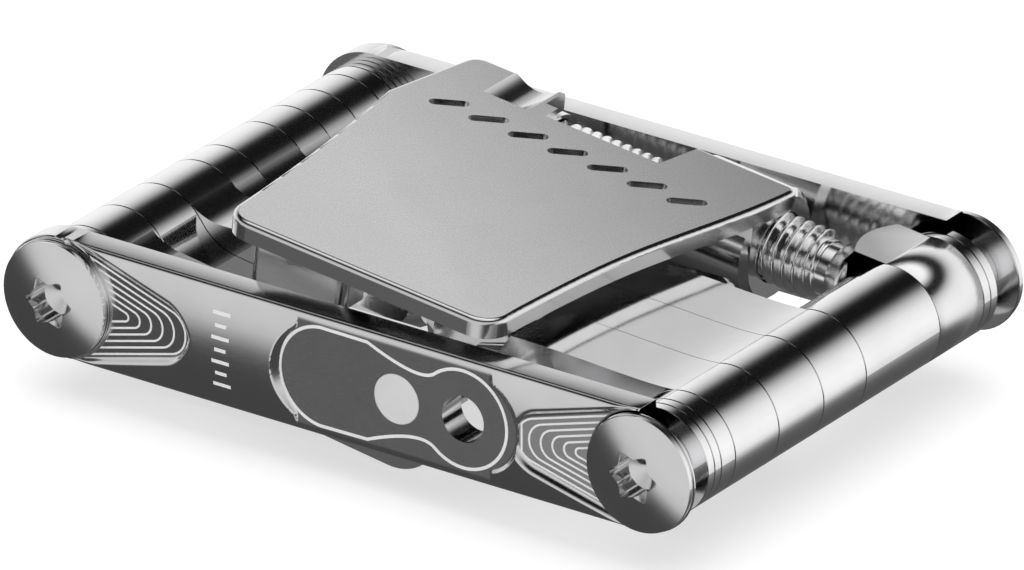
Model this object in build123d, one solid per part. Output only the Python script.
from build123d import *
import os
from math import cos, hypot, radians, sin, sqrt

# A pocket bicycle chain tool: two side plates joined by two pivot axles, with folding keys on both axles
# and a chain breaker that folds down between the plates. Millimetres, +X along the plates from the left
# pivot to the right one, +Y from the near plate to the far one, +Z up, origin under the middle.

# Frame
PIVOT_SPACING = 57.0
PLATE_END_R = 5.28
INNER_HALF_WIDTH = 20.5
CROWN_Y = 23.73
SEAT_Y = 22.88
CROWN_R = 18.2
PLATE_EDGE_R = 0.3

# Quick-link pocket in the near plate, measured from the middle of the plate
POCKET_FLOOR_Y = 23.11
POCKET_LEFT = -4.9
POCKET_RIGHT = 14.0
POCKET_LEFT_ARC = (-1.5, 5.1)
POCKET_RIGHT_ARC = (12.45, 4.1)
POCKET_DRAFT = 40.0
LINK_HOLE_X = 11.26
LINK_HOLE_R = 2.02
MAGNET_X = 4.8
MAGNET_R = 2.17
MAGNET_THICKNESS = 1.6

# Sloping contour recesses beside the bolt heads
RECESS_REACH_LEFT = 13.2
RECESS_REACH_RIGHT = 12.0
RECESS_END_HALF = 1.55
RECESS_LEG_SLOPE = 0.287
RECESS_CORNER_R = 1.5
RECESS_FLOOR_Y = 22.88
RECESS_TILT = 2.8
RECESS_DRAFT = 50.0

# Axles
SLEEVE_R = 3.0
SLEEVE_BORE_R = 2.5
BOLT_R = 2.45
BOLT_LENGTH = 15.0
HEAD_R = 4.94
HEAD_RIM_Y = 23.63
HEAD_TOP_Y = 24.48
HEAD_WASHER_R = 5.06
HEAD_WASHER_T = 0.3
SOCKET_R = 2.25
SOCKET_CORE_R = 1.62
SOCKET_DEPTH = 1.9
SOCKET_POINT = 0.8
PLATE_BORE_R = 3.02
KNUCKLE_R = 4.58
KNUCKLE_BORE_R = 3.05
SIDE_GAP = 0.03
KNUCKLE_EDGE = 0.05

# Keys: name, near side and far side of the knuckle, shank half-height, shank length, reach, bit
LEFT_KEYS = [
    ("hex_key_2_5", -13.88, -8.73, 1.25, 11.0, 25.0, ("hex", 2.5)),
    ("hex_key_5", -8.73, -3.23, 2.5, 11.0, 25.0, ("hex", 5.0)),
    ("flat_driver", -3.23, 0.27, 1.75, 11.0, 25.0, ("flat", 3.2)),
    ("hex_key_4", 0.27, 5.77, 2.0, 11.0, 25.0, ("hex", 4.0)),
    ("hex_key_3", 5.77, 9.62, 1.5, 11.0, 44.0, ("hex", 3.0)),
    ("torx_key_10", 9.62, 13.47, 1.37, 11.0, 25.0, ("torx", 2.74)),
    ("hex_key_2", 13.47, 17.07, 1.0, 9.0, 18.0, ("hex", 2.0)),
]
RIGHT_KEYS = [
    ("phillips_driver", -16.68, -10.58, 18.3, 22.3, ("cross", 4.6)),
    ("hex_key_6", -10.58, -4.28, 21.0, 30.0, ("hex", 6.0)),
    ("torx_key_25", -4.28, 1.73, 21.0, 30.0, ("torx", 4.43)),
]
SWOOP_R = 4.9
ROOT_LOW = 4.37
ROOT_HIGH = 4.85
ROOT_CURVE_X = (1.2, 5.0, 11.0)
ROOT_START = 4.42
ROOT_BACK = (1.2, 1.6)
REST_DROP = 8.4
SPOKE_KEY_NEAR = -18.63
SPOKE_KEY_FAR = -13.88
SPOKE_KEY_REACH = 30.0
SPOKE_KEY_END_R = 4.45
SPOKE_KEY_WAIST = 3.0
SPOKE_SLOT = 3.3

# Spacers on the axles
WASHER_PAIRS = {"left_near": (-20.5, -18.63), "left_far": (19.02, 20.5),
                "right_near": (-20.5, -18.63), "right_far": (18.53, 20.5)}
NARROW_SPACER_LEFT = (17.07, 19.02)
NARROW_SPACER_RIGHT = (-18.63, -16.68)
WIDE_SPACER = (1.73, 12.23)

# Chain breaker, drawn folded flat: X from the right pivot, Y as in the frame, Z from the pivot plane
FOLD_ANGLE = 6.5
DRIVER_Y = 15.38
EYE_NEAR = 12.23
EYE_FAR = 18.53
WEB_HALF = 4.4
WEB_CONE = ((-3.9, 5.8), (-7.4, 2.2))
WEB_ROUND = -4.8
NECK_R = 2.2
THREAD_START = -8.4
THREAD_END = -35.1
THREAD_R = 3.0
NOSE_R = 2.45
NOSE_END = -40.6
PIN_R = 1.15
PIN_END = -44.0
PIN_SOCKET = 3.0
BODY_BORE_R = 3.06
NOSE_BORE_R = 2.53
LID_TOP = 6.3
LID_THICKNESS = 1.7
LID_EDGE_R = 0.45
LID_NEAR = -21.75
LID_FAR = 14.7
BOSS_R = 4.95
BOSS = (-22.0, -13.25)
BOSS_EDGE = 0.6
BOSS_NEAR = 11.0
UNDER_OVERLAP = 0.5
ANVIL = (-37.1, -35.3)
ANVIL_R = 3.4
ANVIL_NEAR = 11.6
CRADLE_NEAR = 10.1
GROOVE_X = -37.15
GROOVE_R = 3.0
GROOVE_DEPTH = 1.0
GROOVE_NEAR = 9.95
TAB_FAR = 11.9
FOOT = (-41.9, -32.7)
FOOT_NEAR = -18.1
FOOT_FAR = -14.6
FOOT_LOW = -4.0
FOOT_CLEARANCE = 3.4
VENT_COUNT = 7
VENT_FIRST = -40.25
VENT_STEP = 3.9
VENT_SIZE = (3.3, 1.0)
VENT_Y = 6.4
VENT_LEAN = 35.0

HALF = PIVOT_SPACING / 2
# The lowest point of the object is the round end of the spoke key, which hangs a little open.
PIVOT_HEIGHT = SPOKE_KEY_REACH * sin(radians(REST_DROP)) + SPOKE_KEY_END_R


def slab(profile, near, far):
    """A profile drawn in X and Z, as thick as the space from near to far along Y."""
    plane = Plane(origin=(0, far, 0), x_dir=(1, 0, 0), z_dir=(0, -1, 0))
    return extrude(plane * profile, far - near)


def disc(x, z, radius, near, far):
    return Pos(x, (near + far) / 2, z) * Cylinder(radius, far - near, rotation=(90, 0, 0))


def rod(radius, start, end, y=0.0, z=0.0):
    """A round bar along X."""
    return Pos((start + end) / 2, y, z) * Cylinder(radius, abs(end - start), rotation=(0, 90, 0))


def block(x0, x1, y0, y1, z0, z1):
    return Pos((x0 + x1) / 2, (y0 + y1) / 2, (z0 + z1) / 2) * Box(x1 - x0, y1 - y0, z1 - z0)


def round_bar(x, z, radius, near, far, edge):
    body = disc(x, z, radius, near, far)
    return chamfer(body.edges().filter_by(GeomType.CIRCLE), edge)


def six_lobe(radius, core):
    """The outline of a six-lobe socket or key: a star with rounded points and hollows."""
    points = []
    for turn in range(0, 360, 60):
        for reach, angle in ((radius * 1.07, turn), (core, turn + 30)):
            points.append((reach * cos(radians(angle)), reach * sin(radians(angle))))
    star = make_face(Polyline(*points, close=True))
    star = fillet([v for v in star.vertices() if hypot(v.X, v.Y) > radius], radius * 0.12)
    return fillet([v for v in star.vertices() if hypot(v.X, v.Y) < core * 1.01], radius * 0.2)


def socket_cut(x, side):
    """A six-lobe socket with a drill-point floor, in the head on the near (-1) or far (1) side."""
    floor = -HEAD_TOP_Y + SOCKET_DEPTH
    cut = slab(Pos(x, 0) * six_lobe(SOCKET_R, SOCKET_CORE_R), -HEAD_TOP_Y - 1, floor)
    point = Pos(x, floor + SOCKET_POINT / 2, 0) * Cone(SOCKET_CORE_R, 0.1, SOCKET_POINT, rotation=(-90, 0, 0))
    cut += point
    return cut if side < 0 else mirror(cut, about=Plane.XZ)


# Side plates ------------------------------------------------------------------------------------------

def contour_recess(side, reach):
    """A shallow V-shaped recess beside a pivot, floor sloping down towards the bolt head."""
    leg_half = RECESS_END_HALF + RECESS_LEG_SLOPE * reach
    corners = [(0, leg_half), (reach, RECESS_END_HALF), (reach, -RECESS_END_HALF), (0, -leg_half)]
    outline = make_face(Polyline(*corners, close=True))
    outline = fillet(outline.vertices().group_by(Axis.X)[-1], RECESS_CORNER_R)
    floor = Plane(origin=(0, -RECESS_FLOOR_Y, 0), x_dir=(1, 0, 0), z_dir=(0, -1, 0))
    cut = extrude(floor * outline, 3.0, taper=-RECESS_DRAFT)
    cut = cut.rotate(Axis((0, -RECESS_FLOOR_Y, 0), (0, 0, 1)), -RECESS_TILT)
    if side > 0:
        cut = mirror(cut, about=Plane.YZ)
    return Pos(side * HALF, 0, 0) * cut


def plate_blank():
    """A crowned stadium plate on the near side, with bolt seats, bores and contour recesses."""
    plate = slab(SlotCenterToCenter(PIVOT_SPACING, 2 * PLATE_END_R), -CROWN_Y, -INNER_HALF_WIDTH)
    crown = rod(CROWN_R, -HALF - 10, HALF + 10, y=CROWN_R - CROWN_Y)
    plate = plate & crown
    for side in (-1, 1):
        plate -= disc(side * HALF, 0, PLATE_END_R + 0.02, -CROWN_Y - 1, -SEAT_Y)
        plate -= disc(side * HALF, 0, PLATE_BORE_R, -CROWN_Y, -INNER_HALF_WIDTH)
    plate -= contour_recess(-1, RECESS_REACH_LEFT)
    plate -= contour_recess(1, RECESS_REACH_RIGHT)
    return plate


def near_plate():
    (left_x, left_r), (right_x, right_r) = POCKET_LEFT_ARC, POCKET_RIGHT_ARC
    outline = Pos((POCKET_LEFT + POCKET_RIGHT) / 2, 0) * Rectangle(POCKET_RIGHT - POCKET_LEFT, 14)
    outline += Pos(left_x, 0) * Circle(left_r)
    outline += Pos(right_x, 0) * Circle(right_r)
    floor = Plane(origin=(0, -POCKET_FLOOR_Y, 0), x_dir=(1, 0, 0), z_dir=(0, -1, 0))
    plate = plate_blank()
    plate -= extrude(floor * outline, 2.0, taper=-POCKET_DRAFT)
    plate -= disc(LINK_HOLE_X, 0, LINK_HOLE_R, -CROWN_Y - 1, -INNER_HALF_WIDTH)
    plate -= disc(MAGNET_X, 0, MAGNET_R + 0.02, -CROWN_Y - 1, -POCKET_FLOOR_Y + MAGNET_THICKNESS)
    return plate


def far_plate():
    return mirror(plate_blank(), about=Plane.XZ)


def magnet():
    top = -POCKET_FLOOR_Y - 0.02
    return round_bar(MAGNET_X, 0, MAGNET_R, top, -POCKET_FLOOR_Y + MAGNET_THICKNESS, 0.06)


# Axles ------------------------------------------------------------------------------------------------

def bolt_head(x):
    """A domed head at the near plate."""
    rise = HEAD_TOP_Y - HEAD_RIM_Y
    dome_r = (HEAD_R ** 2 + rise ** 2) / (2 * rise)
    head = disc(x, 0, HEAD_R, -HEAD_TOP_Y - 1, -SEAT_Y - HEAD_WASHER_T)
    return head & (Pos(x, dome_r - HEAD_TOP_Y, 0) * Sphere(dome_r))


def near_bolt(x):
    """A screw with a six-lobe head, threaded into the sleeve nut."""
    shank = disc(x, 0, BOLT_R, -SEAT_Y - HEAD_WASHER_T, -SEAT_Y + BOLT_LENGTH)
    return bolt_head(x) + shank - socket_cut(x, -1)


def sleeve_nut(x):
    """A barrel nut: the axle the knuckles turn on, with a head at the far plate."""
    barrel = disc(x, 0, SLEEVE_R, -SEAT_Y + 0.1, SEAT_Y + HEAD_WASHER_T)
    nut = mirror(bolt_head(x), about=Plane.XZ) + barrel - socket_cut(x, 1)
    return nut - disc(x, 0, SLEEVE_BORE_R, -SEAT_Y, -SEAT_Y + BOLT_LENGTH + 1)


def head_washers():
    """Thin finishing washers under the four heads."""
    rings = []
    for x in (-HALF, HALF):
        for side in (-1, 1):
            near, far = sorted((side * SEAT_Y, side * (SEAT_Y + HEAD_WASHER_T)))
            ring = round_bar(x, 0, HEAD_WASHER_R, near, far, 0.08)
            rings.append(ring - disc(x, 0, PLATE_BORE_R, near, far))
    return Compound(rings)


def ring(x, near, far, radius=KNUCKLE_R):
    body = round_bar(x, 0, radius, near + SIDE_GAP, far - SIDE_GAP, KNUCKLE_EDGE)
    return body - disc(x, 0, PLATE_BORE_R, near, far)


def washer_pair(x, near, far):
    middle = (near + far) / 2
    return Compound([ring(x, near, middle), ring(x, middle, far)])


# Keys -------------------------------------------------------------------------------------------------

def knuckle(near, far):
    return round_bar(0, 0, KNUCKLE_R, near + SIDE_GAP, far - SIDE_GAP, KNUCKLE_EDGE)


def neck(half):
    """The swoop from a knuckle to a shank of this half-height, tangent to both, and how far out it ends."""
    rise = half + SWOOP_R
    reach = sqrt((KNUCKLE_R + SWOOP_R) ** 2 - rise ** 2)
    touch = KNUCKLE_R * rise / (KNUCKLE_R + SWOOP_R)
    profile = Pos(reach / 2, 0) * Rectangle(reach, 2 * touch)
    for side in (-1, 1):
        profile -= Pos(reach, side * rise) * Circle(SWOOP_R)
    return profile, reach


def bit(kind, size, start, end, y):
    """The working end of a key, along X."""
    plane = Plane(origin=(start, y, 0), x_dir=(0, 1, 0), z_dir=(1, 0, 0))
    length = end - start
    if kind == "hex":
        body = extrude(plane * RegularPolygon(size / 2, 6, major_radius=False, rotation=30), length)
        return body & tip_cone(size / sqrt(3), start, end, y)
    if kind == "torx":
        body = extrude(plane * six_lobe(size / 2, size * 0.36), length)
        return body & tip_cone(size / 2, start, end, y)
    if kind == "flat":
        body = rod(size / 2, start, end, y=y)
        taper = Pos(end, y, 0) * Box(12, size, size * 2)
        wedge = slab(make_face(Polyline((end - 7, size / 2), (end, 0.4), (end, -0.4), (end - 7, -size / 2),
                                        close=True)), y - size, y + size)
        return (body - taper) + (body & wedge)
    body = rod(size / 2, start, end, y=y) & tip_cone(size / 2, start, end, y, slope=1.4)
    for turn in (45, 135, 225, 315):
        flute = Box(9, 1.6, 1.6).moved(Location((end, 0, size / 2 - 0.1)))
        flute = flute.rotate(Axis((0, 0, 0), (1, 0, 0)), turn)
        body -= Pos(0, y, 0) * flute
    return body


def tip_cone(radius, start, end, y, slope=0.6):
    """A bar whose far end is chamfered."""
    chamfer_length = radius * slope
    edge_r = radius * 0.72
    profile = Polyline((start, 0), (start, radius + 0.1), (end - chamfer_length, radius + 0.1),
                       (end, edge_r), (end, 0), close=True)
    return Pos(0, y, 0) * revolve(make_face(profile), Axis.X, 360)


def left_key(near, far, half, shank, reach, end_bit):
    """A folding key on the left axle, pointing along +X from its pivot."""
    middle = (near + far) / 2
    profile, swoop_end = neck(half)
    body = knuckle(near, far) + slab(profile, near + SIDE_GAP, far - SIDE_GAP)
    body += block(swoop_end - 0.01, shank, near + SIDE_GAP, far - SIDE_GAP, -half, half)
    body += bit(*end_bit, shank - 0.5, reach, middle)
    return body - disc(0, 0, KNUCKLE_BORE_R, near, far)


def root_profile(length):
    """The deep root of a right-hand key: a shallow dip behind the knuckle, then a slow rise."""
    start, dip, rise = ROOT_CURVE_X
    slant, drop = ROOT_BACK
    back = length - slant
    top = Spline((start, ROOT_START), (dip, ROOT_LOW), (rise, (ROOT_LOW + 2 * ROOT_HIGH) / 3), (back, ROOT_HIGH),
                 tangents=[(1, -0.1), (1, 0)])
    end = Polyline((back, ROOT_HIGH), (length, ROOT_HIGH - drop), (length, drop - ROOT_HIGH),
                   (back, -ROOT_HIGH))
    bottom = mirror(top, about=Plane.XZ)
    heel = Polyline((start, -ROOT_START), (0, 0), (start, ROOT_START))
    return make_face([top, *end.edges(), bottom, *heel.edges()])


def right_key(near, far, root, reach, end_bit):
    """A folding key on the right axle, pointing along -X from its pivot."""
    middle = (near + far) / 2
    body = knuckle(near, far) + slab(root_profile(root), near + SIDE_GAP, far - SIDE_GAP)
    body += bit(*end_bit, root - 0.5, reach, middle)
    body -= disc(0, 0, KNUCKLE_BORE_R, near, far)
    return mirror(body, about=Plane.YZ)


def spoke_key():
    """A flat bar with a round end, slotted as a spoke wrench."""
    reach, end_r = SPOKE_KEY_REACH, SPOKE_KEY_END_R
    near, far = SPOKE_KEY_NEAR, SPOKE_KEY_FAR
    body = knuckle(near, far)
    profile, swoop_end = neck(SPOKE_KEY_WAIST)
    flare = reach - 6
    bar = make_face(Polyline((0, 0), (swoop_end, SPOKE_KEY_WAIST), (flare, SPOKE_KEY_WAIST), (reach, end_r),
                             (reach, -end_r), (0, -end_r), close=True))
    bar = fillet([v for v in bar.vertices() if abs(v.X - flare) < 0.1], 1.5)
    bar += profile + Pos(reach, 0) * Circle(end_r)
    slot = Pos(reach + 2.5, 0) * Rectangle(8.0, SPOKE_SLOT)
    slot = fillet(slot.vertices().group_by(Axis.X)[0], 0.5)
    body += slab(bar - slot, near + SIDE_GAP + 0.3, far - SIDE_GAP - 0.3)
    return body - disc(0, 0, KNUCKLE_BORE_R, near, far)


# Chain breaker ----------------------------------------------------------------------------------------

def driver():
    """An eye bolt: the eye turns on the right axle and the shank drives the chain pin."""
    (cone_x, cone_r), (neck_x, neck_r) = WEB_CONE
    outline = Polyline((0, 0), (0, cone_r), (cone_x, cone_r), (neck_x, neck_r), (neck_x, 0), close=True)
    web = block(neck_x, 0, EYE_NEAR + SIDE_GAP, EYE_FAR - SIDE_GAP, -WEB_HALF, WEB_HALF)
    web += rod(WEB_HALF, neck_x, WEB_ROUND, y=DRIVER_Y)
    web &= Pos(0, DRIVER_Y, 0) * revolve(make_face(outline), Axis.X, 360)
    body = knuckle(EYE_NEAR, EYE_FAR) + web
    body += rod(NECK_R, neck_x + 0.1, THREAD_START, y=DRIVER_Y)
    body += rod(THREAD_R, THREAD_START, THREAD_END, y=DRIVER_Y)
    nose = rod(NOSE_R, THREAD_END, NOSE_END, y=DRIVER_Y)
    nose = chamfer(nose.edges().filter_by(GeomType.CIRCLE).sort_by(Axis.X)[0], 0.4)
    body += nose
    body -= rod(PIN_R + 0.02, NOSE_END + PIN_SOCKET, NOSE_END, y=DRIVER_Y)
    return body - disc(0, 0, KNUCKLE_BORE_R, EYE_NEAR, EYE_FAR)


def push_pin():
    pin = rod(PIN_R, NOSE_END + PIN_SOCKET, PIN_END, y=DRIVER_Y)
    return chamfer(pin.edges().filter_by(GeomType.CIRCLE).sort_by(Axis.X)[0], 0.2)


def lid_outline():
    """The plan of the thumb plate: near and far edges straight, left and right edges gently curved."""
    left = ThreePointArc((-42.55, LID_NEAR), (-43.55, -7.8), (-45.2, 4.8))
    left_far = Line((-45.2, 4.8), (-43.45, LID_FAR))
    far = Line((-43.45, LID_FAR), (-11.45, LID_FAR))
    right = Spline((-11.45, LID_FAR), (-12.75, 6.2), (-14.75, -3.4), (-15.75, -12.3), (-16.25, LID_NEAR))
    near = Line((-16.25, LID_NEAR), (-42.55, LID_NEAR))
    outline = make_face([left, left_far, far, right, near])
    corners = outline.vertices()
    outline = fillet([v for v in corners if v.Y < -10], 2.4)
    corners = outline.vertices()
    outline = fillet([v for v in corners if v.Y > LID_FAR - 0.1 and v.X < -30], 1.6)
    corners = outline.vertices()
    return fillet([v for v in corners if v.Y > LID_FAR - 0.1 and v.X > -14], 0.8)


def lid_cuts():
    """Openings at the far edge: a set-back tab and the chain cradle."""
    high = LID_FAR + 1
    tab = make_face(Polyline((-34.55, TAB_FAR), (-33.25, TAB_FAR), (-33.25, high), (-34.55, high), close=True))
    cradle = make_face(Polyline((-33.35, CRADLE_NEAR), (-22.15, CRADLE_NEAR), (-21.1, high), (-33.35, high),
                                close=True))
    return tab + cradle


def vents():
    """A row of plain slanted slots through the thumb plate."""
    row = None
    for index in range(VENT_COUNT):
        spot = Location((VENT_FIRST + index * VENT_STEP, VENT_Y, 0), (0, 0, VENT_LEAN))
        slot = spot * SlotOverall(*VENT_SIZE)
        row = slot if row is None else row + slot
    return row


def outer_edges(lid):
    """The edges of the lid's top face, apart from those in and beside the openings."""
    edges = lid.faces().sort_by(Axis.Z)[-1].edges()
    return [e for e in edges if e.center().Y < CRADLE_NEAR - 2 or not -41.85 < e.center().X < -12.45]


def boss():
    """The threaded boss under the lid."""
    shape = rod(BOSS_R, *BOSS, y=DRIVER_Y)
    shape = chamfer(shape.edges().filter_by(GeomType.CIRCLE), BOSS_EDGE)
    return shape + block(*BOSS, BOSS_NEAR, LID_FAR, 0, LID_TOP - LID_THICKNESS + UNDER_OVERLAP)


def anvil():
    """The wall the chain is pushed against, with room for the driver's nose."""
    wall = rod(ANVIL_R, *ANVIL, y=DRIVER_Y)
    return wall + block(*ANVIL, ANVIL_NEAR, LID_FAR, -ANVIL_R / 2, LID_TOP - LID_THICKNESS + UNDER_OVERLAP)


def foot():
    """The block under the lid's near edge that stands between the keys and the near plate."""
    shape = block(*FOOT, FOOT_NEAR, FOOT_FAR, FOOT_LOW, LID_TOP - LID_THICKNESS + UNDER_OVERLAP)
    shape = fillet(shape.edges().filter_by(Axis.Z), 0.8)
    trim = block(-60, 10, -30, 30, -20, FOOT_CLEARANCE).rotate(Axis((0, 0, 0), (0, 1, 0)), -FOLD_ANGLE)
    return shape - trim


def chain_breaker_body():
    """The thumb plate with its threaded boss, anvil wall and foot."""
    under = LID_TOP - LID_THICKNESS
    lid = Pos(0, 0, under) * extrude(lid_outline() - lid_cuts(), LID_THICKNESS)
    lid = fillet(outer_edges(lid), LID_EDGE_R)
    lid -= Pos(0, 0, under - 1) * extrude(vents(), LID_THICKNESS + 2)
    lid -= disc(GROOVE_X, LID_TOP + GROOVE_R - GROOVE_DEPTH, GROOVE_R, GROOVE_NEAR, LID_FAR + 1)
    body = lid + boss() + anvil() + foot()
    body -= rod(BODY_BORE_R, -12, THREAD_END - 0.05, y=DRIVER_Y)
    return body - rod(NOSE_BORE_R, THREAD_END, NOSE_END - 0.3, y=DRIVER_Y)


# Assembly ---------------------------------------------------------------------------------------------

def on_left(shape, drop=0.0):
    """Place a left-hand key on its axle, hanging open by drop degrees."""
    return Pos(-HALF, 0, 0) * shape.rotate(Axis((0, 0, 0), (0, 1, 0)), drop)


def on_right(shape, lift=0.0):
    return Pos(HALF, 0, 0) * shape.rotate(Axis((0, 0, 0), (0, 1, 0)), lift)


def build():
    nodes = {
        "side_plate_near": near_plate(),
        "side_plate_far": far_plate(),
        "quick_link_magnet": magnet(),
        "pivot_bolt_left": near_bolt(-HALF),
        "pivot_bolt_right": near_bolt(HALF),
        "sleeve_nut_left": sleeve_nut(-HALF),
        "sleeve_nut_right": sleeve_nut(HALF),
        "head_washers": head_washers(),
        "narrow_spacer_left": ring(-HALF, *NARROW_SPACER_LEFT),
        "narrow_spacer_right": ring(HALF, *NARROW_SPACER_RIGHT),
        "wide_spacer": ring(HALF, *WIDE_SPACER),
        "spoke_key": on_left(spoke_key(), REST_DROP),
        "driver_eye_bolt": on_right(driver(), FOLD_ANGLE),
        "push_pin": on_right(push_pin(), FOLD_ANGLE),
        "chain_breaker_body": on_right(chain_breaker_body(), FOLD_ANGLE),
    }
    for place, (near, far) in WASHER_PAIRS.items():
        x = -HALF if place.startswith("left") else HALF
        nodes["thrust_washers_" + place] = washer_pair(x, near, far)
    for name, *shape in LEFT_KEYS:
        nodes[name] = on_left(left_key(*shape), REST_DROP if name == "hex_key_2_5" else 0.0)
    for name, *shape in RIGHT_KEYS:
        nodes[name] = on_right(right_key(*shape))
    return {name: Pos(0, 0, PIVOT_HEIGHT) * shape for name, shape in nodes.items()}


os.makedirs("parts", exist_ok=True)
for node, shape in build().items():
    export_step(shape, f"parts/{node}.step")
print("pivot height", round(PIVOT_HEIGHT, 4))
